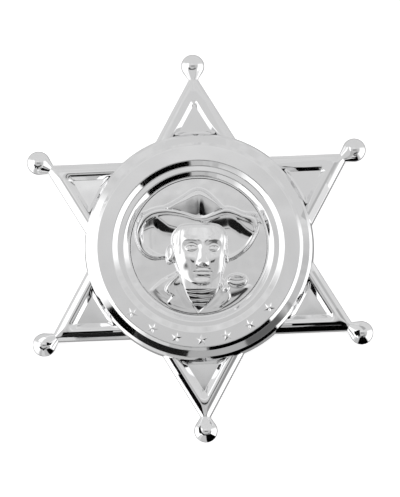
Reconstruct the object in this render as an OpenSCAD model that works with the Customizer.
// Six-point star badge with a portrait medallion, lying on its back.
// Z = 0 is the surface that it lies on, +Z is its front, +Y is the top arm. Sizes in millimetres.
// The star is one hollow moulding, the portrait is a disc in a round seat of it,
// and a plain pin sits in the hollow of the back.

/* [Star] */

// Size across two opposite balls
star_span = 75; // [70:1:84]

// Diameter of the ball on each tip
ball_d = 4.5; // [4:0.1:5]

// Height of an arm's upright side
side_h = 2.6; // [2.3:0.1:3]

// Width of the sloped border along an arm
border_w = 2; // [1.8:0.1:2.3]

// Rise of the sloped border over its width
border_rise = 1; // [0.8:0.1:1.2]

// Height of the flat floor in an arm's recess
recess_z = 2.6; // [2.3:0.1:2.8]

// Wall of the hollow moulding
wall = 1.2; // [1:0.1:1.3]

/* [Medallion] */

// Diameter of the round middle
disc_d = 44.2; // [43.6:0.2:46]

// Height of the broad flat band
band_z = 6.1; // [5.9:0.1:6.6]

// Height of the narrow ring inside the band
ring_z = 5.3; // [5.1:0.1:5.6]

// Height of the sunk field
field_z = 4.5; // [4.4:0.1:4.8]

// Diameter of the sunk field
field_d = 26.4; // [25.6:0.2:26.4]

/* [Ornaments] */

// Number of small stars along the bottom of the band
ornament_n = 7; // [5:1:9]

// Size of one small star across its points
ornament_d = 2.3; // [2:0.1:2.4]

// Height of a small star over the band
ornament_h = 0.5; // [0.3:0.1:0.7]

/* [Portrait] */

// Height of the portrait over the field
relief_h = 2.9; // [2:0.1:3.2]

// Thickness of the portrait's disc at the field
disc_t = 0.8; // [0.7:0.1:1]

// Gap all round between the disc and its seat
seat_gap = 0.1; // [0.05:0.05:0.2]

/* [Pin] */

// Length of the pin wire
pin_l = 24; // [20:1:25]

// Diameter of the pin wire
pin_d = 0.9; // [0.8:0.1:1]

// Width of the pin's base plate
plate_w = 5; // [4:0.5:7]

// Thickness of the pin's base plate
plate_t = 0.6; // [0.5:0.1:0.7]

/* [Hidden] */

$fn = 96;
over = 1;

arms = 6;
arm_turn = 360 / arms;

// A regular six-point star, so each tip is 60 degrees wide.
ball_r = ball_d / 2;
ball_at = star_span / 2 - ball_r;
ball_z = ball_r * 0.93;
tip_r = ball_at - 0.4 * ball_r;

// A ball runs out in a cone towards its arm.
neck_lean = 34;
neck_from = 0.53 * ball_r;
neck_to = 1.42 * ball_r;
neck_end = 1.71 * ball_r;

edge_lean = 60;
tip_half = 30;
crest_z = side_h + border_rise;
block_z = crest_z + 0.2;
border_slope = atan(border_rise / border_w);
inner_wall_w = 1.3;
recess_gap = 0.35;
inner_slope = atan((crest_z - recess_z) / inner_wall_w);
reach = star_span * 0.8;

disc_r = disc_d / 2;
root_y = disc_r - 5;
field_r = field_d / 2;
field_rim = 0.3;
field_step = 0.95;
ring_w = 1.05;
band_step = 1;
rim_step = 0.6;
rim_drop = 0.6;
rim_slope_w = 1.3;
rim_slope_drop = 0.55;
edge_w = 0.8;
edge_drop = 0.65;
seat_z = field_z - disc_t;
back_z = seat_z - 1;
ring_r0 = field_r + field_rim + field_step;
ring_r1 = ring_r0 + ring_w;
band_r0 = ring_r1 + band_step;
rim_r2 = disc_r - edge_w;
rim_r1 = rim_r2 - rim_slope_w;
band_r1 = rim_r1 - rim_step;
rim_z1 = band_z - rim_drop;
rim_z2 = rim_z1 - rim_slope_drop;
edge_z = rim_z2 - edge_drop;

// Front of the middle, as radius and height.
front = [
    [field_r + field_rim, field_z],
    [ring_r0, ring_z],
    [ring_r1, ring_z],
    [band_r0, band_z],
    [band_r1, band_z],
    [rim_r1, rim_z1],
    [rim_r2, rim_z2],
    [disc_r, edge_z],
];

// The same profile one wall lower, for the hollow back.
hollow = [
    [field_r + 0.5, back_z],
    [ring_r0 + 0.2, ring_z - wall],
    [ring_r1 + 0.2, ring_z - wall],
    [band_r0 + 0.2, band_z - wall],
    [band_r1 - 0.4, band_z - wall],
    [rim_r1 - 0.2, rim_z1 - wall],
    [disc_r - wall, rim_z2 - wall],
];

// Small stars on the band.
ornament_at = (band_r0 + band_r1) / 2;
ornament_arc = 93.6;
ornament_step = ornament_arc / (ornament_n - 1);
ornament_sink = 0.2;
ornament_points = 5;
ornament_waist = 0.45;

// Portrait disc: rings and spokes of the surface, and its units.
// The portrait is turned a little in its seat.
relief_r = field_r - seat_gap;
portrait_turn = -2.5;
unit = relief_r / 13.1;
rise = relief_h / 3.95;
rings = 41;
spokes = 132;

// Pin.
plate_top = back_z;
plate_low = plate_top - plate_t;
pin_z = 0.95;
block_w = 3;
block_l = 2.4;
block_low = 0.3;
block_at = pin_l / 2 - 1.2 - block_l / 2;
point_l = 2;

// Smooth step of a given width, centred on zero.
function part_of(d, w) = min(max(0.5 + d / w, 0), 1);
function bend(t) = t * t * (3 - 2 * t);
function ease(d, w) = bend(part_of(d, w));

// Even rise from nought to one over a width, with soft ends.
function slide(d, w, soft) =
    0.5 + (sqrt(d * d + soft * soft) - sqrt(pow(d - w, 2) + soft * soft)) / (2 * w);

// The higher of two heights, blended over k.
function lap(a, b, k) = max(k - abs(a - b), 0) / k;
function higher(a, b, k) = max(a, b) + pow(lap(a, b, k), 2) * k / 4;

// A smooth curve through the rows of a table of places and values.
function row_at(v, t) = max([for (i = [0 : len(t) - 2]) if (i == 0 || v >= t[i][0]) i]);
function chord(t, i) = (t[i + 1][1] - t[i][1]) / (t[i + 1][0] - t[i][0]);
function lean(t, i) =
    i == 0 ? chord(t, 0)
    : i == len(t) - 1 ? chord(t, i - 1)
    : (chord(t, i - 1) * (t[i + 1][0] - t[i][0]) + chord(t, i) * (t[i][0] - t[i - 1][0]))
        / (t[i + 1][0] - t[i - 1][0]);
function span_value(t, i, s, h) =
    (2 * pow(s, 3) - 3 * s * s + 1) * t[i][1]
    + (pow(s, 3) - 2 * s * s + s) * h * lean(t, i)
    + (3 * s * s - 2 * pow(s, 3)) * t[i + 1][1]
    + (pow(s, 3) - s * s) * h * lean(t, i + 1);
function curve(v0, t) =
    let (v = min(max(v0, t[0][0]), t[len(t) - 1][0]))
    let (i = row_at(v, t))
    let (h = t[i + 1][0] - t[i][0])
    span_value(t, i, (v - t[i][0]) / h, h);

// One soft swelling or dent. Columns: across, up, half width, half height, turn, rise.
function swell_u(x, y, r) = ((x - r[0]) * cos(r[4]) + (y - r[1]) * sin(r[4])) / r[2];
function swell_v(x, y, r) = ((y - r[1]) * cos(r[4]) - (x - r[0]) * sin(r[4])) / r[3];
function swell(x, y, r) = r[5] * exp(-pow(swell_u(x, y, r), 2) - pow(swell_v(x, y, r), 2));
function swells(x, y, t, i = 0) = i >= len(t) ? 0 : swell(x, y, t[i]) + swells(x, y, t, i + 1);

// One oval dome, with the same columns.
function dome_of(q, h) = q < 1 ? h * sqrt(1 - q) : -3 * h * (q - 1);
function dome(x, y, r) = dome_of(pow(swell_u(x, y, r), 2) + pow(swell_v(x, y, r), 2), r[5]);

// Hat. The brim goes round the point hat_y above the middle: its edge, then the inner edge of its roll.
// Columns: angle from the right, distance to the edge.
hat_y = 1.8;
BRIM = [
    [-90, 5.0], [-60, 5.9], [-39, 7.2], [-30, 8.0], [-20, 8.95], [-10, 9.9],
    [0, 10.85], [8, 11.65], [14, 12.1], [18.5, 12.15], [22, 11.6], [26, 10.5],
    [32, 9.5], [40, 8.75], [49, 7.7], [56, 6.5], [63, 5.45], [72, 4.55],
    [84, 4.15], [96, 4.2], [108, 4.75], [122, 6.1], [134, 7.9], [143.5, 9.65],
    [151, 10.8], [158, 11.75], [165, 12.3], [173.5, 12.45], [181, 12.3], [187, 11.95],
    [193.5, 11.5], [200, 10.7], [206, 9.6], [211, 8.0], [222, 6.8], [240, 5.6], [270, 5.0],
];
ROLL = [
    [-90, 4.5], [-60, 5.4], [-36, 7.0], [-23, 8.2], [-13, 9.2], [-5, 9.9],
    [3, 10.6], [9, 10.8], [13, 10.55], [18.4, 9.5], [27.8, 8.2], [40.6, 6.55],
    [47, 5.25], [60, 3.8], [86, 3.2], [119, 4.25], [136, 5.95], [146, 7.65],
    [152, 8.8], [158, 9.85], [164.5, 10.65], [172, 11], [178.4, 11.05], [184.4, 10.9],
    [191, 10.5], [197, 9.75], [204, 8.8], [211, 7.6], [222, 6.4], [240, 5.3], [270, 4.5],
];

// The line along which the underside of the brim falls away. Columns: across, height.
SHADE = [
    [-11, 4.2], [-10.4, 4.5], [-9.4, 4.9], [-8.4, 4.9], [-7.6, 4.4], [-6, 3.4], [-4.8, 3.1], [0.3, 3.3],
    [1.1, 4.3], [2.7, 4.5], [4.5, 4.8], [6.1, 4.9], [7.3, 4.2], [8.4, 3.3], [10.1, 2.3], [11, 1.8],
];

// Width of the part that falls away. Columns: across, width.
DROP = [[-11, 1.8], [-9.4, 2], [-4, 1.3], [0, 1.5], [4.5, 2.2], [11, 1.1]];
function unit_of(v) = min(max(v, 0), 1);
function round_angle(a) = a < -90 ? a + 360 : a;
function hat_angle(x, y) = round_angle(atan2(y - hat_y, x));
function edge_lean_of(a, r, t) = (curve(a + 1, t) - curve(a - 1, t)) * 57.3 / 2 / r;
function edge_in(a, d, r, t) = (r - d) / sqrt(1 + pow(edge_lean_of(a, r, t), 2));
function inside(x, y, t) =
    let (a = hat_angle(x, y))
    edge_in(a, norm([x, y - hat_y]), curve(a, t), t);
function rolled(u) = 0.5 * u * (1 - u);
function band_up(y, out, in) =
    (0.55 + 0.75 * ease(y - hat_y + 0.5, 6)) * ease(out - 0.25, 0.55)
    + rolled(unit_of(out / max(out - in, 0.2)));
function shade_lean(x) = (curve(x + 0.2, SHADE) - curve(x - 0.2, SHADE)) / 0.4;
function below_shade(x, y) = (curve(x, SHADE) - y) / sqrt(1 + pow(shade_lean(x), 2));
function under(x, y) =
    let (w = curve(x, DROP))
    1.28 - 0.535 * w * slide(below_shade(x, y) + 0.4 * w, w, 0.2);
function under_part(y, in) = ease(in - 0.16, 0.3 + 0.4 * ease(2.5 - y, 3));
function mix(a, b, m) = m > 0 ? a + (b - a) * m : a;
function brim_z(x, y, out, in) =
    let (m = under_part(y, in))
    mix(band_up(y, out, in), m > 0 ? under(x, y) : 0, m);
function brim(x, y, out) = out > -0.15 ? brim_z(x, y, out, inside(x, y, ROLL)) : -1;

// Crown: its outline, the line where its front falls in, and its foot behind the brim.
// Columns: across, height.
CROWN = [
    [-8.5, 6.6], [-7.1, 7.5], [-5, 8.6], [-2.6, 10.15], [-1.2, 11], [0, 11.25],
    [1.1, 10.9], [3.1, 9.3], [4.5, 7.9], [5.5, 7.2], [7, 6.5],
];
RIDGE = [
    [-6.5, 6.6], [-5.2, 7.5], [-2.5, 8.8], [-0.5, 9.7], [0.3, 9.8],
    [1.1, 9.5], [2.7, 8.6], [4, 7.7], [5.2, 6.6],
];
FOOT = [[-6.5, 7.4], [-3.5, 6.75], [-1.5, 6.2], [0, 5.95], [1.6, 6.15], [3.5, 6.9], [5.2, 7.4]];
function crown_lean(x) = (curve(x + 0.1, CROWN) - curve(x - 0.1, CROWN)) / 0.2;
function crown_in(x, y) = (curve(x, CROWN) - y) / sqrt(1 + pow(crown_lean(x), 2));
function above_nought(v) = (v + sqrt(v * v + 0.02)) / 2;
function tanh(v) = (exp(2 * v) - 1) / (exp(2 * v) + 1);
function middle_fold(x) = 1 - exp(-sqrt(pow(x - 0.05, 2) + 0.01) / 0.6);
function crown_dent(x, fall) =
    (0.47 - 0.03 * tanh(x) - 0.09 * middle_fold(x)) * fall + 0.008 * fall * fall;
function crown_up(u) = 1.15 * u * (2 - u);
function crown_z(x, y, d) =
    let (top = curve(x, CROWN))
    let (ridge = curve(x, RIDGE))
    0.62 * ease(d - 0.25, 0.6)
    + crown_up(unit_of((top - y) / max(top - ridge, 0.6)))
    - ease(ridge - curve(x, FOOT) - 0.2, 0.6) * crown_dent(x, above_nought(ridge - y));
function crown(x, y) =
    y < 4.6 || abs(x) > 9 ? -1
    : let (d = crown_in(x, y)) d > -0.1 ? crown_z(x, y, d) : -1;

// Face, a plain one with even proportions. The pairs lie on both sides of its middle line.
PAIRS = [
    [2.2, 0, 1.6, 0.95, 0, -0.22],
    [1.0, 0.1, 0.8, 0.9, 0, -0.08],
    [2.9, -2.3, 1.7, 1.2, 18, 0.2],
    [2.9, -4.6, 1.2, 1.5, -12, -0.1],
    [2.2, 1.3, 1.6, 0.5, 5, 0.16],
    [0.66, -3.3, 0.38, 0.38, 0, 0.2],
    [0.38, -3.78, 0.22, 0.14, 12, -0.12],
    [1.75, -4.0, 0.35, 0.95, 22, -0.04],
    [0.55, -4.74, 0.72, 0.28, -7, 0.14],
    [0.4, -5.42, 0.8, 0.32, 5, 0.19],
    [3.2, -6.4, 1.4, 1, 35, 0.1],
    [4.9, 1.2, 0.8, 1.5, 0, -0.14],
];
MIDDLE = [
    [0, 2.8, 3.4, 1.8, 0, 0.14],
    [0, 0.8, 0.9, 0.8, 0, 0.04],
    [0, -3.15, 0.62, 0.55, 0, 0.3],
    [0, -4.25, 0.2, 0.38, 0, -0.07],
    [0, -6.02, 1.3, 0.4, 0, -0.08],
    [0, -7.0, 1.35, 0.85, 0, 0.3],
];
function nose_w(y) = 0.62 + 0.2 * ease(-y - 1.6, 3);
function nose_h(y) = 0.2 + 0.5 * ease(-y - 1.3, 4);
function nose(a, y) =
    nose_h(y) * exp(-pow(a / nose_w(y), 2)) * ease(0.7 - y, 1.8) * ease(y + 3.8, 0.8);
eye_x = 2.15;
eye_y = -0.3;
eye_w = 1.05;
function lid(x) = pow(1 - pow(min(abs(x) / eye_w, 1), 2), 0.7);
function eye_ball(x, y) = 0.3 * pow(max(1 - pow(x / 1.25, 2) - pow(y / 0.8, 2), 0), 0.8);
function eye_gap(x, y) = ease(0.36 * lid(x) - y, 0.16) * ease(y + 0.24 * lid(x), 0.16);
function eye_fold(x, y) = 0.07 * exp(-pow((y - 0.36 * lid(x) - 0.36) / 0.14, 2)) * ease(1.25 - abs(x), 0.7);
function pupil(x, y) = 0.09 * exp(-(x * x + pow(y - 0.06, 2)) / 0.0324);
function eye(x, y) =
    eye_ball(x, y) - 0.1 * eye_gap(x, y) * ease(1.1 - abs(x), 0.2) - eye_fold(x, y) - pupil(x, y);
function brow_y(a) = 1 + 0.28 * cos(63 * (a - 2.4));
function brow(a, y) = 0.035 * exp(-pow((y - brow_y(a)) / 0.14, 2)) * ease(a - 1, 0.5) * ease(3.6 - a, 0.9);
function mouth_y(p) = -5.05 + 0.05 * cos(130 * p) * exp(-pow(p / 1.2, 2)) + 0.02 * p * p;
function mouth(p, y) = -0.12 * exp(-pow((y - mouth_y(p)) / 0.15, 2)) * ease(1.75 - abs(p), 0.7);
function hair_edge(y) = 4.5 - 0.12 * pow(max(y - 2, 0), 2);
function hair(a, y) = 0.13 * ease(a - hair_edge(y), 0.35) * ease(y + 1.6, 1.2);
function face(p, y) =
    swells(abs(p), y, PAIRS) + swells(p, y, MIDDLE) + nose(abs(p), y)
    + eye(abs(p) - eye_x, y - eye_y) + brow(abs(p), y) + mouth(p, y) + hair(abs(p), y);

// Head: half its width at each height, and its turn to one side.
// Columns: height, half width.
JAW = [
    [-8.3, 0.1], [-8.15, 1.3], [-7.8, 2.05], [-7, 3], [-5.8, 3.9], [-4.4, 4.55],
    [-2.5, 5.05], [0, 5.35], [1.6, 5.4], [2.5, 5.2], [3.3, 4.75], [3.9, 4.15], [4.25, 3.5], [4.4, 2.9],
];
head_x = 0.1;
head_r = 5.35;
head_turn = 9;
chin_y = -8.3;
hair_y = 4.4;
function dial(v) = asin(min(max(v, -1), 1));
function face_across(x) = (dial((x - head_x) / head_r) - head_turn) * head_r * 0.94 / 57.3;
function head_side(x, y) = abs(x - head_x - 0.35 * ease(-3 - y, 6)) / max(curve(y, JAW), 0.1);
function head_core(u) = sqrt(max(1 - pow(u, 2.4), 0));
function quarter(t) = sqrt(1 - pow(1 - min(max(t, 0), 1), 2));
function head_up(y) = 1 - 0.16 * ease(-5.2 - y, 4) - 0.1 * ease(y - 2.2, 3.4);
function head_z(x, y, c) =
    2.75 * c * head_up(y) * quarter((y - chin_y) / 1.5) * (0.25 + 0.75 * quarter((hair_y - y) / 0.9))
    + face(face_across(x), y) * min(c * 1.6, 1) * quarter((y - chin_y) / 1.5);
function head(x, y) =
    y < chin_y || y > hair_y || abs(x - head_x) > 5.6 ? -1
    : head_side(x, y) < 1 ? head_z(x, y, head_core(head_side(x, y)))
    : -1;
EAR = [-5.35, -1.5, 0.95, 1.95, -6, 1.55];
EAR_DENT = [-5.5, -1.2, 0.38, 1.05, -6, 0.55];
FAR_EAR = [5.3, -1.6, 0.45, 1.5, 6, 1];

// Shoulders. Columns: across, height of the shoulder line.
SHOULDER = [
    [-14, -12.5], [-11, -9.9], [-9.3, -8.5], [-7, -6.5], [-4.6, -5.1], [-3, -4],
    [3, -5], [5.3, -6.7], [8.3, -7.2], [11.2, -7.9], [14, -9.6],
];
SHOULDER_DENTS = [
    [-7.4, -9.35, 1.5, 0.85, -25, -0.4],
    [7.4, -10.4, 2.4, 0.8, 35, -0.42],
    [9.2, -9.1, 1, 0.6, 20, -0.15],
];
function shirt_z(x, y, d) =
    0.62 * ease(d - 0.2, 0.6) + 0.35 * ease(d - 1.8, 3.4) + swells(x, y, SHOULDER_DENTS);
function run_out(x, y) = slide(12.9 - norm([x, y]), 5.5, 0.5);
function shirt(x, y) =
    let (d = curve(x, SHOULDER) - y)
    d > -0.15 ? shirt_z(x, y, d) * run_out(x, y) : -1;

// Collar. Columns: height, place of the edge across. Outer and inner edge of each wing.
LEFT_OUT = [
    [-13.6, -3.3], [-12.5, -4.2], [-11.7, -5.35], [-10.6, -5.75], [-9.7, -5.15],
    [-8.9, -6], [-8.1, -6.25], [-7, -5.6], [-5.8, -4.4], [-4.6, -3.6],
];
LEFT_IN = [
    [-13.6, 1], [-12.7, 0.05], [-11.4, -0.9], [-9.8, -2], [-7.5, -2.85], [-6.1, -3.3], [-4.6, -4],
];
RIGHT_IN = [
    [-13.6, -0.8], [-12.7, 0.1], [-11.6, 1.2], [-10.2, 2.6], [-9, 3.5], [-8, 3.9], [-6.8, 4.3], [-5.6, 4.5],
];
RIGHT_OUT = [
    [-13.6, 3], [-12.5, 3.9], [-11.2, 4.9], [-10.2, 5.9], [-9.3, 6.1], [-8.4, 5.6], [-7.4, 4.9], [-6.4, 4.6],
];
function wing(out, in, top, y) =
    ease(out, 0.35) * ease(in, 0.3) * ease(top - y, 0.8)
    * (0.7 + 0.3 * ease(in - 1.2, 1.6) + 0.28 * exp(-pow((out - 0.45) / 0.3, 2)));
function wings(x, y) =
    wing(x - curve(y, LEFT_OUT), curve(y, LEFT_IN) - x, -4.9, y)
    + wing(curve(y, RIGHT_OUT) - x, x - curve(y, RIGHT_IN), -6.6, y);
function collar_h(x, y) = 0.05 + 0.5 * run_out(x, y) + 0.25 * ease(y + 8, 5);
function collar(x, y) = y > -4 || abs(x) > 7 ? 0 : wings(x, y) * collar_h(x, y);

// Scarf in the open collar. Columns: height of a fold, how far it sways.
FOLDS = [[-8.75, 0.05], [-9.55, -0.04], [-10.35, 0.06], [-11.15, 0]];
function fold(x, y, f) = exp(-pow((y - f[0] - 0.06 * pow(x - 0.4, 2) - f[1] * x) / 0.15, 2));
function folds(x, y, i = 0) = i >= len(FOLDS) ? 0 : fold(x, y, FOLDS[i]) + folds(x, y, i + 1);
function scarf_z(x, y) =
    2.2 - 0.06 * pow(x - 0.4, 2) + 0.56 * min(y + 8.2, 0)
    + 0.045 * folds(x, y) * ease(2.6 - abs(x - 0.3), 1.6);
function scarf_in(x, y) =
    y > -4 || abs(x) > 5 ? 0
    : ease(x - curve(y, LEFT_IN) - 0.05, 0.3) * ease(curve(y, RIGHT_IN) - x - 0.05, 0.3) * ease(-4.5 - y, 1);

KNOT = [5.25, -8.1, 0.85, 0.7, 30, 1.45];
LEAF = [7.35, -6.5, 2.15, 1.35, 0, 1];
function leaf_dent(x, y) =
    (0.42 - 0.5 * (y + 6.15)) * ease(1 - norm([(x - 7.35) / 1.75, (y + 6.15) / 0.62]), 0.3);

// The whole portrait, from the back to the front.
function over_field(x, y) = higher(0, crown(x, y), 0.15);
function with_brim(x, y, z, d) = d > 0.3 ? brim(x, y, d) : higher(z, brim(x, y, d), 0.1);
function with_shirt(x, y, z) = higher(z, shirt(x, y), 0.12) + collar(x, y);
function with_scarf(x, y, z, m) = m > 0 ? z * (1 - m) + scarf_z(x, y) * m : z;
function with_knot(x, y, z) =
    higher(higher(z, dome(x, y, KNOT), 0.2), dome(x, y, LEAF), 0.15) - leaf_dent(x, y);
function with_head(x, y, z) = higher(z, head(x, y), 0.1);
function with_ears(x, y, z) =
    higher(higher(z, dome(x, y, EAR) - swell(x, y, EAR_DENT), 0.1), dome(x, y, FAR_EAR), 0.1);
function fade(x, y) = ease(12.5 - norm([x, y]), 1.2);
function portrait(x, y) =
    let (a = with_brim(x, y, over_field(x, y), inside(x, y, BRIM)))
    let (b = with_scarf(x, y, with_shirt(x, y, a), scarf_in(x, y)))
    let (c = with_knot(x, y, b))
    with_ears(x, y, with_head(x, y, c)) * fade(x, y);

module arm_outline(inset) {
    top = tip_r - 2 * inset;
    half = (top - root_y) * tan(tip_half);
    polygon([[0, top], [-half, root_y], [half, root_y]]);
}

// A half space above a plane that leans along an arm's edge.
module above_edge(inset, z, slope) {
    translate([0, tip_r - 2 * inset, z])
        rotate([0, 0, -edge_lean])
            rotate([slope, 0, 0])
                translate([-reach / 2, -reach / 2, 0])
                    cube([reach, reach, reach / 2]);
}

module both_edges(inset, z, slope) {
    above_edge(inset, z, slope);
    mirror([1, 0, 0])
        above_edge(inset, z, slope);
}

// A half space above a plane that leans along the foot of a recess, beside the middle.
module above_foot() {
    translate([0, disc_r + recess_gap, recess_z])
        rotate([-inner_slope, 0, 0])
            translate([-reach / 2, -reach / 2, 0])
                cube([reach, reach, reach / 2]);
}

module arm_recess() {
    intersection() {
        above_edge(border_w, crest_z, inner_slope);
        mirror([1, 0, 0])
            above_edge(border_w, crest_z, inner_slope);
        above_foot();
        translate([-reach / 2, 0, recess_z])
            cube([reach, reach, reach]);
    }
}

// The block is a little higher than the ridge, and the sloped cuts give it its top.
module arm() {
    difference() {
        linear_extrude(height = block_z)
            arm_outline(0);
        both_edges(0, side_h, -border_slope);
        arm_recess();
    }
}

module ball() {
    intersection() {
        translate([0, ball_at, ball_z])
            sphere(r = ball_r);
        translate([-ball_d, ball_at - ball_d, 0])
            cube([2 * ball_d, 2 * ball_d, 2 * ball_d]);
    }
}

module neck() {
    translate([0, ball_at - neck_from, ball_z])
        rotate([90, 0, 0])
            cylinder(
                h = neck_to - neck_from,
                r1 = (neck_end - neck_from) * tan(neck_lean),
                r2 = (neck_end - neck_to) * tan(neck_lean)
            );
}

module middle() {
    rotate_extrude()
        polygon(concat([[0, field_z]], front, [[disc_r, 0], [0, 0]]));
}

module small_star() {
    n = ornament_points * 2;
    r = ornament_d / 2;
    linear_extrude(height = ornament_h + ornament_sink)
        polygon([
            for (i = [0 : n - 1])
                let (q = i % 2 == 0 ? r : r * ornament_waist)
                [q * sin(i * 360 / n), q * cos(i * 360 / n)]
        ]);
}

module ornaments() {
    for (i = [0 : ornament_n - 1])
        rotate([0, 0, -ornament_arc / 2 + i * ornament_step])
            translate([0, -ornament_at, band_z - ornament_sink])
                small_star();
}

module hollow_back() {
    rotate_extrude()
        polygon(concat([[0, back_z]], hollow, [[disc_r - wall, -over], [0, -over]]));
    for (i = [0 : arms - 1])
        rotate([0, 0, i * arm_turn])
            translate([0, 0, -over])
                linear_extrude(height = recess_z - wall + over)
                    arm_outline(wall);
}

module star_shell() {
    color("Silver")
        difference() {
            union() {
                middle();
                ornaments();
                for (i = [0 : arms - 1])
                    rotate([0, 0, i * arm_turn])
                        arm();
                for (i = [0 : arms - 1])
                    rotate([0, 0, i * arm_turn])
                        ball();
                for (i = [0 : arms - 1])
                    rotate([0, 0, i * arm_turn])
                        neck();
            }
            hollow_back();
            translate([0, 0, seat_z])
                cylinder(r = field_r, h = relief_h + band_z);
        }
}

// Surface of the portrait disc: a middle point, then rings of points, then the lower edge.
function round_at(r, a) = [r * cos(a), r * sin(a)];
function place(i, j) = round_at(relief_r * i / rings, j * 360 / spokes);
function lift(p) = [p[0], p[1], field_z + rise * portrait(p[0] / unit, p[1] / unit)];
function at(i, j) = 1 + (i - 1) * spokes + j % spokes;
function low(j) = 1 + rings * spokes + j % spokes;

// Each square of the surface is split along its more level diagonal.
function level(p, a, b, c, d) = abs(p[a][2] - p[c][2]) < abs(p[b][2] - p[d][2]);
function half_one(p, a, b, c, d) = level(p, a, b, c, d) ? [a, b, c] : [a, b, d];
function half_two(p, a, b, c, d) = level(p, a, b, c, d) ? [a, c, d] : [b, c, d];
function first_half(p, i, j) = half_one(p, at(i, j), at(i, j + 1), at(i + 1, j + 1), at(i + 1, j));
function second_half(p, i, j) = half_two(p, at(i, j), at(i, j + 1), at(i + 1, j + 1), at(i + 1, j));

module medallion() {
    points = concat(
        [lift([0, 0])],
        [for (i = [1 : rings], j = [0 : spokes - 1]) lift(place(i, j))],
        [for (j = [0 : spokes - 1]) [place(rings, j)[0], place(rings, j)[1], seat_z]]
    );
    faces = concat(
        [for (j = [0 : spokes - 1]) [0, at(1, j + 1), at(1, j)]],
        [for (i = [1 : rings - 1], j = [0 : spokes - 1]) first_half(points, i, j)],
        [for (i = [1 : rings - 1], j = [0 : spokes - 1]) second_half(points, i, j)],
        [for (j = [0 : spokes - 1]) [at(rings, j), at(rings, j + 1), low(j + 1), low(j)]],
        [[for (j = [0 : spokes - 1]) low(j)]]
    );
    color("Gainsboro")
        rotate([0, 0, portrait_turn])
            polyhedron(points = points, faces = faces, convexity = 8);
}

module pin_block(side) {
    translate([side * block_at - block_l / 2, -block_w / 2, block_low])
        cube([block_l, block_w, plate_top - block_low - plate_t / 2]);
}

module pin_clasp() {
    color("DarkGray")
        union() {
            translate([-pin_l / 2, -plate_w / 2, plate_low])
                cube([pin_l, plate_w, plate_t]);
            pin_block(-1);
            pin_block(1);
            translate([-block_at, 0, pin_z])
                rotate([0, 90, 0])
                    cylinder(d = pin_d, h = block_at + pin_l / 2 - point_l);
            translate([pin_l / 2 - point_l, 0, pin_z])
                rotate([0, 90, 0])
                    cylinder(d1 = pin_d, d2 = pin_d / 4, h = point_l);
        }
}

star_shell();
medallion();
pin_clasp();
